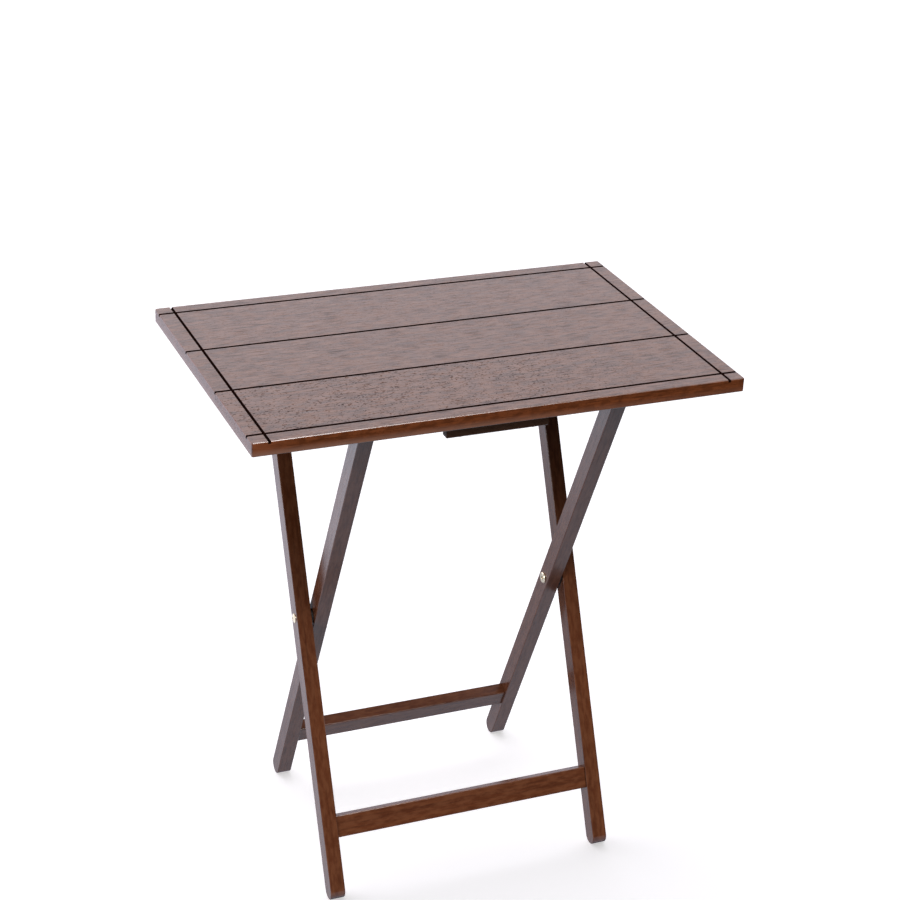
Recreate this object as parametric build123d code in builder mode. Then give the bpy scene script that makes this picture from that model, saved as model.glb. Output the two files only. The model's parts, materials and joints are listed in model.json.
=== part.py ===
"""Folding tray table: a grooved wooden tray carried by two crossed leg frames.

Millimetres. +X runs along the tray, +Y to the rear and +Z up, and the origin is on the floor below
the middle of the tray. The outer frame has its feet in front and hinges the tray at the rear. The
inner frame has its feet behind, and its rounded tops slide below the tray as the legs close. Both
hinge and sliding tops stand at the same height and the same distance from the crossing, so the
tray turns on its hinge by half the angle through which the legs close.
"""
import os
from math import atan2, cos, hypot, sin

from build123d import *

# Tray
tray_length = 600.0
tray_width = 400.0
tray_thick = 17.0
tray_height = 660.0  # floor to the tray's upper face
corner_radius = 2.0
edge_bevel = 0.8
groove_width = 3.5
groove_depth = 2.8
groove_inset = 20.0  # tray edge to the border groove, all round
plank_count = 3

# Legs
leg_depth = 22.5
leg_thick = 19.0
leg_arris = 0.7
leg_gap = 3.0  # between an outer leg and the inner leg beside it
frame_width = 376.0  # over the outer legs
hinge_inset = 73.0  # tray's rear edge to the hinge in the outer legs
bar_inset = 45.0  # tray's front edge to the bar in the inner legs
slide_clearance = 0.3  # inner leg tops to the tray's underside, and bar to catch block

# Stretchers, tenoned into the legs
stretcher_tall = 27.0
stretcher_depth = 16.0
stretcher_arris = 1.2
stretcher_drop = 263.0  # crossing to the stretcher's middle, down the leg
tenon_tall = 19.0
tenon_thick = 8.0
tenon_length = 11.0

# Bar between the tops of the inner legs, a straight rod glued into blind holes
bar_diameter = 12.0
bar_housing = 12.0

mortise_end_gap = 1.0
glue_clearance = 0.05

# Catch block in front of the bar
block_length = 126.0
block_depth = 11.0
block_tall = 23.5
block_bevel = 1.2
block_screw_spacing = 90.0

# Hinge cleats outside the outer legs
cleat_length = 70.0
cleat_tall = 26.0
cleat_thick = 18.0
cleat_corner = 11.0
cleat_gap = 1.6  # leg to cleat, filled by a washer
cleat_screw_spacing = 46.0

# Wood screws, with plain heads
screw_diameter = 4.0
screw_head = 7.5
screw_head_tall = 2.2
screw_bite = 9.0  # thread length in the tray
screw_clearance = 0.3
pilot_end_gap = 1.0

# Bolts and sleeve nuts where the legs cross
sleeve_diameter = 8.0
sleeve_flange = 14.0
sleeve_flange_thick = 1.8
sleeve_flange_bevel = 0.9
sleeve_web = 4.0  # solid metal between the flange and the blind bore
sleeve_setback = 6.0  # sleeve end to the outer leg's outer face
sleeve_socket = 4.0  # across the flats
sleeve_socket_depth = 2.4
cross_bolt_diameter = 5.0
spacer_diameter = 18.0

# Bolts and cap nuts that hinge the tray
hinge_bolt_diameter = 6.0
nut_flats = 10.0
nut_tall = 5.0
nut_cap = 8.4  # diameter of the closed cap where it leaves the hexagon
nut_cap_tall = 3.6
nut_cap_crown = 4.0  # diameter of the flat on top of the cap
nut_bore_depth = 6.0
nut_washer_diameter = 14.0
nut_washer_thick = 1.0
washer_diameter = 18.0  # nylon washer between leg and cleat

# Pan heads of all bolts
bolt_head = 12.0
bolt_head_rim = 0.9
bolt_head_tall = 2.6
bolt_head_crown = 7.0  # diameter of the flat on top of the head

running_clearance = 0.05  # radial, pin in hole
face_clearance = 0.2  # between flat faces that turn past each other
thread_clearance = 0.05  # radial, thread in nut or wood

# Linkage: centres of the rounded leg ends and of the crossing
leg_end = leg_depth / 2
underside = tray_height - tray_thick
knuckle_z = underside - slide_clearance - leg_end
hinge_y = tray_width / 2 - hinge_inset
bar_y = bar_inset - tray_width / 2
cross_y = (hinge_y + bar_y) / 2
cross_z = (knuckle_z + leg_end) / 2
half_leg = hypot(hinge_y - cross_y, knuckle_z - cross_z)
lean = atan2(hinge_y - cross_y, knuckle_z - cross_z)

# Stations along X, from the middle to the right
outer_face = frame_width / 2
outer_inside = outer_face - leg_thick
inner_face = outer_inside - leg_gap
inner_inside = inner_face - leg_thick
cleat_inside = outer_face + cleat_gap
cleat_face = cleat_inside + cleat_thick
cleat_x = cleat_inside + cleat_thick / 2
sleeve_end = outer_face - sleeve_setback
sleeve_seat = inner_inside - face_clearance
sleeve_bore_end = sleeve_seat + sleeve_web
nut_seat = outer_inside - nut_washer_thick
hinge_bolt_tip = nut_seat - nut_bore_depth
hinge_bolt_seat = cleat_face + face_clearance

# Catch block, cleats and their screws
block_y = bar_y - bar_diameter / 2 - slide_clearance - block_depth / 2
block_foot = underside - block_tall
cleat_foot = underside - cleat_tall
block_spots = [(side * block_screw_spacing / 2, block_y) for side in (-1, 1)]
cleat_spots = [
    (side * cleat_x, hinge_y + end * cleat_screw_spacing / 2) for side in (-1, 1) for end in (-1, 1)
]

# Holes
sleeve_hole = sleeve_diameter + 2 * running_clearance
hinge_hole = hinge_bolt_diameter + 2 * running_clearance
bar_hole = bar_diameter + 2 * glue_clearance
screw_hole = screw_diameter + 2 * screw_clearance
pilot_hole = screw_diameter + 2 * thread_clearance


def leg_plane(tilt, x):
    """Plane square to X through the crossing, whose own X axis runs up a leg."""
    return Plane(origin=(x, cross_y, cross_z), x_dir=(0, sin(tilt), cos(tilt)), z_dir=(1, 0, 0))


def side_plane(x, y, z):
    """Plane at a point, facing +X, whose own X axis runs to the rear."""
    return Plane(origin=(x, y, z), x_dir=(0, 1, 0), z_dir=(1, 0, 0))


def pin_plane(y, z):
    """Upright plane along the line through (y, z) parallel to X, for profiles turned about it."""
    return Plane(origin=(0, y, z), x_dir=(1, 0, 0), z_dir=(0, -1, 0))


def right_leg(tilt, inside_x, knuckle_hole, knuckle_depth):
    """Round-ended leg on the +X side, bored for its pivot and top fitting and mortised for a stretcher."""
    inside = leg_plane(tilt, inside_x)
    with BuildPart() as leg:
        with BuildSketch(inside):
            SlotCenterToCenter(2 * half_leg, leg_depth)
        extrude(amount=leg_thick)
        chamfer(leg.faces().filter_by(Axis.X).edges(), leg_arris)
        with BuildSketch(inside):
            Circle(sleeve_hole / 2)
        extrude(amount=leg_thick, mode=Mode.SUBTRACT)
        with BuildSketch(inside):
            with Locations((half_leg, 0)):
                Circle(knuckle_hole / 2)
        extrude(amount=knuckle_depth, mode=Mode.SUBTRACT)
        with BuildSketch(inside):
            with Locations((-stretcher_drop, 0)):
                Rectangle(tenon_tall + 2 * glue_clearance, tenon_thick + 2 * glue_clearance)
        extrude(amount=tenon_length + mortise_end_gap, mode=Mode.SUBTRACT)
    return leg


def mirrored(right):
    """Left-hand copy of a right-hand piece."""
    with BuildPart() as left:
        mirror(right.part, about=Plane.YZ)
    return left


def stretcher(tilt, half_span):
    """Low rail set square to its two legs, with a stub tenon at each end."""
    middle = leg_plane(tilt, 0)
    with BuildPart() as rail:
        with BuildSketch(middle):
            with Locations((-stretcher_drop, 0)):
                RectangleRounded(stretcher_tall, stretcher_depth, stretcher_arris)
        extrude(amount=half_span, both=True)
        with BuildSketch(middle):
            with Locations((-stretcher_drop, 0)):
                Rectangle(tenon_tall, tenon_thick)
        extrude(amount=half_span + tenon_length, both=True)
    return rail


def headed_bolts(y, z, tip_x, seat_x, diameter):
    """Pair of pan-head bolts along X, pointing inwards from seat_x to tip_x on each side."""
    with BuildPart() as bolts:
        with BuildSketch(pin_plane(y, z)):
            with BuildLine():
                Polyline(
                    (tip_x, 0),
                    (tip_x, diameter / 2),
                    (seat_x, diameter / 2),
                    (seat_x, bolt_head / 2),
                    (seat_x + bolt_head_rim, bolt_head / 2),
                    (seat_x + bolt_head_tall, bolt_head_crown / 2),
                    (seat_x + bolt_head_tall, 0),
                    close=True,
                )
            make_face()
        revolve(axis=Axis((0, y, z), (1, 0, 0)))
        mirror(about=Plane.YZ)
    return bolts


def rings(x, y, z, diameter, bore, thick):
    """Pair of flat rings that lie against the plane at x on each side, thick towards +X if positive."""
    with BuildPart() as pair:
        with BuildSketch(side_plane(x, y, z)):
            Circle(diameter / 2)
            Circle(bore / 2, mode=Mode.SUBTRACT)
        extrude(amount=thick)
        mirror(about=Plane.YZ)
    return pair


def wood_screws(spots, foot_z):
    """Screws driven upwards at each (x, y) of spots, their heads seated on the wood's face at foot_z."""
    with BuildPart() as screws:
        with BuildSketch(Plane.XY.offset(foot_z)):
            with Locations(*spots):
                Circle(screw_head / 2)
        extrude(amount=-screw_head_tall)
        with BuildSketch(Plane.XY.offset(foot_z)):
            with Locations(*spots):
                Circle(screw_diameter / 2)
        extrude(amount=underside + screw_bite - foot_z)
    return screws


# Tray: a board with eased edges, V grooves that run out through its edges, and blind pilot holes
plank_width = (tray_width - 2 * groove_inset) / plank_count
groove_section = [
    (-groove_width / 2, groove_depth),
    (-groove_width / 2, 0),
    (0, -groove_depth),
    (groove_width / 2, 0),
    (groove_width / 2, groove_depth),
]
with BuildPart() as tray_top:
    with BuildSketch(Plane.XY.offset(underside)):
        RectangleRounded(tray_length, tray_width, corner_radius)
    extrude(amount=tray_thick)
    chamfer(tray_top.faces().filter_by(Axis.Z).edges(), edge_bevel)
    with BuildSketch(Plane.YZ):
        with Locations((0, tray_height)):
            with GridLocations(plank_width, 0, plank_count + 1, 1):
                Polygon(*groove_section, align=None)
    extrude(amount=tray_length / 2, both=True, mode=Mode.SUBTRACT)
    with BuildSketch(Plane.XZ):
        with Locations((0, tray_height)):
            with GridLocations(tray_length - 2 * groove_inset, 0, 2, 1):
                Polygon(*groove_section, align=None)
    extrude(amount=tray_width / 2, both=True, mode=Mode.SUBTRACT)
    with BuildSketch(Plane.XY.offset(underside)):
        with Locations(*block_spots, *cleat_spots):
            Circle(pilot_hole / 2)
    extrude(amount=screw_bite + pilot_end_gap, mode=Mode.SUBTRACT)

# Hinge cleat: a block with rounded lower corners, drilled for the hinge bolt and two screws
with BuildPart() as right_hinge_cleat:
    with BuildSketch(side_plane(cleat_inside, hinge_y, underside)):
        Rectangle(cleat_length, cleat_tall, align=(Align.CENTER, Align.MAX))
    extrude(amount=cleat_thick)
    fillet(right_hinge_cleat.edges().filter_by(Axis.X).group_by(Axis.Z)[0], cleat_corner)
    with BuildSketch(side_plane(cleat_inside, hinge_y, knuckle_z)):
        Circle(hinge_hole / 2)
    extrude(amount=cleat_thick, mode=Mode.SUBTRACT)
    with Locations(Plane(origin=(cleat_x, hinge_y, cleat_foot), z_dir=(0, 0, -1))):
        with GridLocations(0, cleat_screw_spacing, 1, 2):
            Hole(screw_hole / 2, cleat_tall)
left_hinge_cleat = mirrored(right_hinge_cleat)

# Catch block: a plain strip that keeps the bar from sliding forwards
with BuildPart() as catch_block:
    with BuildSketch(Plane.XY.offset(block_foot)):
        with Locations((0, block_y)):
            Rectangle(block_length, block_depth)
    extrude(amount=block_tall)
    chamfer(catch_block.faces().sort_by(Axis.Z)[0].edges(), block_bevel)
    with Locations(Plane(origin=(0, block_y, block_foot), z_dir=(0, 0, -1))):
        with GridLocations(block_screw_spacing, 0, 2, 1):
            Hole(screw_hole / 2, block_tall)

cleat_screws = wood_screws(cleat_spots, cleat_foot)
catch_block_screws = wood_screws(block_spots, block_foot)

# Leg frames
right_outer_leg = right_leg(lean, outer_inside, hinge_hole, leg_thick)
left_outer_leg = mirrored(right_outer_leg)
right_inner_leg = right_leg(-lean, inner_inside, bar_hole, bar_housing + mortise_end_gap)
left_inner_leg = mirrored(right_inner_leg)
front_stretcher = stretcher(lean, outer_inside)
rear_stretcher = stretcher(-lean, inner_inside)

with BuildPart() as top_bar:
    with BuildSketch(side_plane(0, bar_y, knuckle_z)):
        Circle(bar_diameter / 2)
    extrude(amount=inner_inside + bar_housing, both=True)

# Leg pivots: a flanged sleeve nut through both legs, a bolt screwed into it and a spacer between
with BuildPart() as leg_pivot_nuts:
    with BuildSketch(pin_plane(cross_y, cross_z)):
        with BuildLine():
            Polyline(
                (sleeve_seat - sleeve_flange_thick, 0),
                (sleeve_seat - sleeve_flange_thick, sleeve_flange / 2 - sleeve_flange_bevel),
                (sleeve_seat - sleeve_flange_thick + sleeve_flange_bevel, sleeve_flange / 2),
                (sleeve_seat, sleeve_flange / 2),
                (sleeve_seat, sleeve_diameter / 2),
                (sleeve_end, sleeve_diameter / 2),
                (sleeve_end, cross_bolt_diameter / 2 + thread_clearance),
                (sleeve_bore_end, cross_bolt_diameter / 2 + thread_clearance),
                (sleeve_bore_end, 0),
                close=True,
            )
        make_face()
    revolve(axis=Axis((0, cross_y, cross_z), (1, 0, 0)))
    with BuildSketch(side_plane(sleeve_seat - sleeve_flange_thick, cross_y, cross_z)):
        RegularPolygon(sleeve_socket / 2, 6, major_radius=False)
    extrude(amount=sleeve_socket_depth, mode=Mode.SUBTRACT)
    mirror(about=Plane.YZ)
leg_pivot_bolts = headed_bolts(cross_y, cross_z, sleeve_bore_end, outer_face, cross_bolt_diameter)
leg_pivot_spacers = rings(
    outer_inside, cross_y, cross_z, spacer_diameter, sleeve_hole, face_clearance - leg_gap
)

# Tray hinge: bolts through cleats and outer legs, with nylon washers between and cap nuts on washers inside
tray_hinge_bolts = headed_bolts(hinge_y, knuckle_z, hinge_bolt_tip, hinge_bolt_seat, hinge_bolt_diameter)
nut_plane = side_plane(nut_seat, hinge_y, knuckle_z)
with BuildPart() as tray_hinge_nuts:
    with BuildSketch(nut_plane):
        RegularPolygon(nut_flats / 2, 6, major_radius=False)
    extrude(amount=-nut_tall)
    with Locations(nut_plane.offset(-nut_tall)):
        Cone(
            nut_cap_crown / 2,
            nut_cap / 2,
            nut_cap_tall,
            align=(Align.CENTER, Align.CENTER, Align.MAX),
        )
    with BuildSketch(nut_plane):
        Circle(hinge_bolt_diameter / 2 + thread_clearance)
    extrude(amount=-nut_bore_depth, mode=Mode.SUBTRACT)
    mirror(about=Plane.YZ)
tray_hinge_washers = rings(
    outer_face, hinge_y, knuckle_z, washer_diameter, hinge_hole, cleat_gap - face_clearance
)
nut_washers = rings(outer_inside, hinge_y, knuckle_z, nut_washer_diameter, hinge_hole, -nut_washer_thick)

pieces = {
    "tray_top": tray_top,
    "left_hinge_cleat": left_hinge_cleat,
    "right_hinge_cleat": right_hinge_cleat,
    "cleat_screws": cleat_screws,
    "catch_block": catch_block,
    "catch_block_screws": catch_block_screws,
    "tray_hinge_bolts": tray_hinge_bolts,
    "tray_hinge_nuts": tray_hinge_nuts,
    "tray_hinge_washers": tray_hinge_washers,
    "nut_washers": nut_washers,
    "left_outer_leg": left_outer_leg,
    "right_outer_leg": right_outer_leg,
    "front_stretcher": front_stretcher,
    "leg_pivot_bolts": leg_pivot_bolts,
    "leg_pivot_nuts": leg_pivot_nuts,
    "leg_pivot_spacers": leg_pivot_spacers,
    "left_inner_leg": left_inner_leg,
    "right_inner_leg": right_inner_leg,
    "rear_stretcher": rear_stretcher,
    "top_bar": top_bar,
}

os.makedirs("parts", exist_ok=True)
for name, piece in pieces.items():
    piece.part.label = name
    export_step(piece.part, f"parts/{name}.step")
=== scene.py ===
"""Looks of the folding tray table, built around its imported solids.

Metres, in the solids' own frame: +X along the tray, +Y to the rear, +Z up, origin on the floor below
the tray's middle. Wooden pieces and plain hardware are copies of the solids with eased edges, heads of
screws and bolts come from one Geometry Nodes tree, and every finish is procedural.
"""

import json
import logging
import math
import random
from dataclasses import dataclass
from enum import Enum
from functools import cache

import bmesh
import bpy
from mathutils import Euler, Matrix, Quaternion, Vector


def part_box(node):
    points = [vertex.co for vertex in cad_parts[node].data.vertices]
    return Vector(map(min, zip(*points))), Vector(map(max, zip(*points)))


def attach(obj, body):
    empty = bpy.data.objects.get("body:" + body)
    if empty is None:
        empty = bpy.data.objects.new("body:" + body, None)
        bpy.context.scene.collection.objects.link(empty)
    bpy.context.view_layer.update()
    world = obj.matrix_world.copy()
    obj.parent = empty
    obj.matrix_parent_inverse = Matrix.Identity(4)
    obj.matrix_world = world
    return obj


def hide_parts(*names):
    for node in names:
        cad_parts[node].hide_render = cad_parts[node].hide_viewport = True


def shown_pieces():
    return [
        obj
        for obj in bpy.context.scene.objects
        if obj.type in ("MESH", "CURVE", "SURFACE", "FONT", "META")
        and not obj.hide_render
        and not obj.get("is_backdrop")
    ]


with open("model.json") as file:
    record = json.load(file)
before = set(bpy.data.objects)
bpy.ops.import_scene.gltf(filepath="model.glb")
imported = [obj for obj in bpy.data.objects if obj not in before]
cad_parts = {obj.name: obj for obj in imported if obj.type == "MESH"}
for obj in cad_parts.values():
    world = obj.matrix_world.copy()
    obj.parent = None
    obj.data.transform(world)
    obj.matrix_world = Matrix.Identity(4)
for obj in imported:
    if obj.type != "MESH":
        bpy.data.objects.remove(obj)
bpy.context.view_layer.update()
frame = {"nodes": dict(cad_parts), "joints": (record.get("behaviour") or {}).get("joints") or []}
JOINT_AT = {joint["name"]: Vector(joint["pos_m"]) for joint in frame["joints"]}
CROSSING = JOINT_AT["leg_fold"]
HINGE = JOINT_AT["tray_tilt"]
LEAN = math.atan2(HINGE.y - CROSSING.y, HINGE.z - CROSSING.z)
SEED = 7

# Limits for copies of the solids, and the marks that the copies carry
SAME_POINT = 2e-6
FLAT_ANGLE = math.radians(0.5)
EASED_ANGLE = math.radians(25)
SHARP_ANGLE = math.radians(33)
END_GRAIN_FACING = 0.8
BROAD_FACE_WEIGHT = 100
ARRIS_MARK = "arris"
END_GRAIN_MARK = "end_grain"

Span = tuple[float, float]
Triple = tuple[float, float, float]
Colour = tuple[float, float, float, float]
WHITE: Triple = (1.0, 1.0, 1.0)
BLACK: Triple = (0.0, 0.0, 0.0)
log = logging.getLogger("tray_table")


def opaque(colour: Triple, share: float = 1.0) -> Colour:
    """Colour times a share, with full alpha, as a colour socket takes it."""
    return (*(share * part for part in colour), 1.0)


class Grain(Enum):
    """Way the grain runs in a piece, as the turn that lays it along X."""

    ALONG_TRAY = (0.0, 0.0, 0.0)
    UP_OUTER_LEG = (LEAN, math.pi / 2, 0.0)
    UP_INNER_LEG = (-LEAN, math.pi / 2, 0.0)


class Body(Enum):
    """Moving bodies of the table."""

    OUTER_FRAME = "outer_frame"
    INNER_FRAME = "inner_frame"
    TRAY = "tray"


@dataclass(frozen=True)
class TraySizes:
    """Sizes of the tray that its finish needs, apart from those of the solid."""

    groove: float = 0.0035
    groove_depth: float = 0.0028
    groove_inset: float = 0.020
    planks: int = 3

    @property
    def top(self) -> float:
        """Height of the upper face."""
        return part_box("tray_top")[1].z

    @property
    def underside(self) -> float:
        """Height of the lower face."""
        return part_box("tray_top")[0].z

    @property
    def half_length(self) -> float:
        """Middle to the left or right edge."""
        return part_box("tray_top")[1].x

    @property
    def half_width(self) -> float:
        """Middle to the front or rear edge."""
        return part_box("tray_top")[1].y

    @property
    def cross_groove(self) -> float:
        """Distance of the crosswise grooves from the middle."""
        return self.half_length - self.groove_inset

    @property
    def plank(self) -> float:
        """Width of a plank between grooves."""
        return 2 * (self.half_width - self.groove_inset) / self.planks


TRAY = TraySizes()


@dataclass(frozen=True)
class Pattern:
    """Fractal noise, with its waves per metre along each axis and the strength of each further octave."""

    waves: Triple
    octaves: float
    roughness: float = 0.5


class NodeSheet:
    """Places and joins nodes in one node tree."""

    def __init__(self, tree: bpy.types.NodeTree) -> None:
        """Keeps the tree that the nodes go into."""
        self.tree = tree

    def add(self, kind: str, **settings: object) -> bpy.types.Node:
        """Places a node.

        Args:
            kind: Blender's name of the node type.
            settings: the node's own properties, by name.

        Returns:
            The new node.
        """
        node = self.tree.nodes.new(kind)
        for name, value in settings.items():
            setattr(node, name, value)
        return node

    def feed(self, socket: bpy.types.NodeSocket, value: object) -> None:
        """Links an output to an input, or sets a plain value on it.

        Args:
            socket: the input.
            value: a value or an output.
        """
        if isinstance(value, bpy.types.NodeSocket):
            self.tree.links.new(value, socket)
        else:
            socket.default_value = value

    def maths(self, operation: str, first: object, second: object = 0.0) -> bpy.types.NodeSocket:
        """Joins two values.

        Args:
            operation: Blender's name of the operation.
            first: a value or an output.
            second: a value or an output.

        Returns:
            The result's output.
        """
        node = self.add("ShaderNodeMath", operation=operation)
        self.feed(node.inputs[0], first)
        self.feed(node.inputs[1], second)
        return node.outputs[0]

    def ramp(
        self, value: object, span: Span, start: object = 0.0, end: object = 1.0
    ) -> bpy.types.NodeSocket:
        """Smooth step of a value.

        Args:
            value: a value or an output.
            span: where the step starts and where it ends.
            start: result at the start.
            end: result at the end.

        Returns:
            The result's output.
        """
        node = self.add("ShaderNodeMapRange", interpolation_type="SMOOTHSTEP")
        for socket, number in zip(node.inputs[:5], (value, *span, start, end)):
            self.feed(socket, number)
        return node.outputs[0]

    def mix(self, share: object, first: object, second: object) -> bpy.types.NodeSocket:
        """Mixes two colours.

        Args:
            share: part of the second colour.
            first: a colour or an output.
            second: a colour or an output.

        Returns:
            The mixed colour's output.
        """
        node = self.add("ShaderNodeMix", data_type="RGBA")
        for name, value in (("Factor_Float", share), ("A_Color", first), ("B_Color", second)):
            socket = next(s for s in node.inputs if s.identifier == name)
            self.feed(socket, value)
        return next(s for s in node.outputs if s.identifier == "Result_Color")

    def stretched(self, vector: object, scale: Triple) -> bpy.types.NodeSocket:
        """Scales coordinates.

        Args:
            vector: output that holds the coordinates.
            scale: factor along each axis.

        Returns:
            The scaled coordinates' output.
        """
        node = self.add("ShaderNodeVectorMath", operation="MULTIPLY")
        self.feed(node.inputs[0], vector)
        self.feed(node.inputs[1], scale)
        return node.outputs[0]

    def axes(self, vector: object) -> list[bpy.types.NodeSocket]:
        """Takes a vector apart.

        Args:
            vector: output that holds the vector.

        Returns:
            Outputs of its X, Y and Z parts.
        """
        node = self.add("ShaderNodeSeparateXYZ")
        self.feed(node.inputs[0], vector)
        return list(node.outputs)

    def attribute(self, name: str) -> bpy.types.NodeSocket:
        """Output of a mark that the mesh carries."""
        return self.add("ShaderNodeAttribute", attribute_name=name).outputs["Fac"]

    def noise(self, vector: object, pattern: Pattern) -> bpy.types.NodeSocket:
        """Fractal noise.

        Args:
            vector: coordinates in metres.
            pattern: the noise's waves and octaves.

        Returns:
            The noise value's output.
        """
        node = self.add("ShaderNodeTexNoise")
        node.inputs["Scale"].default_value = 1.0
        node.inputs["Detail"].default_value = pattern.octaves
        node.inputs["Roughness"].default_value = pattern.roughness
        self.feed(node.inputs["Vector"], self.stretched(vector, pattern.waves))
        return node.outputs[0]

    def place(self, group: bpy.types.NodeTree, **values: object) -> bpy.types.Node:
        """Places a shared effect.

        Args:
            group: the effect's node group.
            values: what feeds its inputs, named with _ for spaces.

        Returns:
            The group's node.
        """
        node = self.add("ShaderNodeGroup", node_tree=group)
        for name, value in values.items():
            self.feed(node.inputs[name.replace("_", " ")], value)
        return node


class EffectGroup(NodeSheet):
    """New shader node group with named inputs and outputs."""

    def __init__(self, name: str, inputs: dict[str, str], outputs: dict[str, str]) -> None:
        """Makes an empty group.

        Args:
            name: the group's name.
            inputs: socket type of each input, by name.
            outputs: socket type of each output, by name.
        """
        super().__init__(bpy.data.node_groups.new(name, "ShaderNodeTree"))
        for way, sockets in (("INPUT", inputs), ("OUTPUT", outputs)):
            for socket, kind in sockets.items():
                self.tree.interface.new_socket(socket, in_out=way, socket_type=kind)
        self.given = self.add("NodeGroupInput").outputs
        self.result = self.add("NodeGroupOutput").inputs


@dataclass(frozen=True)
class StainedGrain:
    """Open-pored stained wood with its grain along X, as a shared effect."""

    figure: Pattern = Pattern((1.3, 30.0, 30.0), 4.0)
    streaks: Pattern = Pattern((2.6, 230.0, 230.0), 3.0)
    fibres: Pattern = Pattern((13.0, 560.0, 560.0), 3.0)
    dashes: Pattern = Pattern((34.0, 1300.0, 1300.0), 1.0)
    flecks: Pattern = Pattern((330.0, 560.0, 560.0), 1.0)
    patches: Pattern = Pattern((9.0, 20.0, 20.0), 2.0)
    figure_share: float = 0.30
    streak_share: float = 0.40
    fibre_share: float = 0.30
    tone_span: Span = (0.32, 0.68)
    patch_span: Span = (0.35, 0.70)
    fleck_levels: Span = (0.63, 0.59)
    fleck_span: Span = (-0.015, 0.045)
    dash_span: Span = (0.50, 0.68)
    pore_fill: Triple = (0.005, 0.0025, 0.0015)
    pore_share: float = 0.8
    fibre_height: float = 0.5
    pore_depth: float = 0.8

    @cache
    def tree(self) -> bpy.types.NodeTree:
        """Builds the group once.

        Returns:
            Group that gives the colour, the open pores as a mask and the surface's height.
        """
        group = EffectGroup(
            "stained_grain",
            {"Vector": "NodeSocketVector", "Pale": "NodeSocketColor", "Dark": "NodeSocketColor",
             "Pore Strength": "NodeSocketFloat", "Dash Strength": "NodeSocketFloat"},
            {"Color": "NodeSocketColor", "Pores": "NodeSocketFloat", "Height": "NodeSocketFloat"},
        )
        given = group.given
        where = given["Vector"]
        figure, streaks, fibres, dashes, flecks, patches = (
            group.noise(where, pattern)
            for pattern in (self.figure, self.streaks, self.fibres, self.dashes, self.flecks, self.patches)
        )
        tone = 0.0
        for part, share in (
            (figure, self.figure_share), (streaks, self.streak_share), (fibres, self.fibre_share)
        ):
            tone = group.maths("ADD", tone, group.maths("MULTIPLY", part, share))
        stain = group.mix(group.ramp(tone, self.tone_span), given["Dark"], given["Pale"])
        level = group.ramp(patches, self.patch_span, *self.fleck_levels)
        dots = group.ramp(group.maths("SUBTRACT", flecks, level), self.fleck_span)
        lines = group.ramp(dashes, self.dash_span, 0.0, given["Dash Strength"])
        pores = group.maths("MAXIMUM", group.maths("MULTIPLY", dots, given["Pore Strength"]), lines)
        filled = group.mix(group.maths("MULTIPLY", pores, self.pore_share), stain, opaque(self.pore_fill))
        raised = group.maths("MULTIPLY", fibres, self.fibre_height)
        sunk = group.maths("MULTIPLY", pores, self.pore_depth)
        group.feed(group.result["Color"], filled)
        group.feed(group.result["Pores"], pores)
        group.feed(group.result["Height"], group.maths("SUBTRACT", raised, sunk))
        return group.tree


@dataclass(frozen=True)
class HandSheen:
    """Uneven sheen of a surface that is wiped and touched, as a shared effect."""

    clouds: Pattern = Pattern((11.0, 17.0, 17.0), 4.0, 0.6)
    mean_cloud: float = 0.5
    pore_dulling: float = 0.25
    pore_thinning: float = 0.75
    cloud_thinning: float = 0.8
    best_cover: float = 0.95

    @cache
    def tree(self) -> bpy.types.NodeTree:
        """Builds the group once.

        Returns:
            Group that gives the roughness and how well lacquer covers the surface.
        """
        group = EffectGroup(
            "hand_sheen",
            {"Vector": "NodeSocketVector", "Roughness": "NodeSocketFloat", "Spread": "NodeSocketFloat",
             "Pores": "NodeSocketFloat"},
            {"Roughness": "NodeSocketFloat", "Lacquer": "NodeSocketFloat"},
        )
        given = group.given
        cloudy = group.maths("SUBTRACT", group.noise(given["Vector"], self.clouds), self.mean_cloud)
        swing = group.maths("MULTIPLY", cloudy, given["Spread"])
        uneven = group.maths("ADD", given["Roughness"], swing)
        dull = group.maths("MULTIPLY", given["Pores"], self.pore_dulling)
        group.feed(group.result["Roughness"], group.maths("ADD", uneven, dull))
        sunk = group.maths("MULTIPLY", given["Pores"], self.pore_thinning)
        thin = group.maths("ADD", sunk, group.maths("MULTIPLY", swing, self.cloud_thinning))
        group.feed(group.result["Lacquer"], group.maths("SUBTRACT", self.best_cover, thin))
        return group.tree


@dataclass(frozen=True)
class RubbedArris:
    """Broken wear along the eased edges, as a shared effect."""

    breaks: Pattern = Pattern((60.0, 210.0, 210.0), 3.0, 0.6)
    break_span: Span = (0.35, 0.65)

    @cache
    def tree(self) -> bpy.types.NodeTree:
        """Builds the group once.

        Returns:
            Group that gives the wear as a mask.
        """
        group = EffectGroup(
            "rubbed_arris",
            {"Vector": "NodeSocketVector", "Arris": "NodeSocketFloat", "Amount": "NodeSocketFloat"},
            {"Wear": "NodeSocketFloat"},
        )
        broken = group.ramp(group.noise(group.given["Vector"], self.breaks), self.break_span)
        edge = group.maths("MULTIPLY", group.given["Arris"], broken)
        group.feed(group.result["Wear"], group.maths("MULTIPLY", edge, group.given["Amount"]))
        return group.tree


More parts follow.
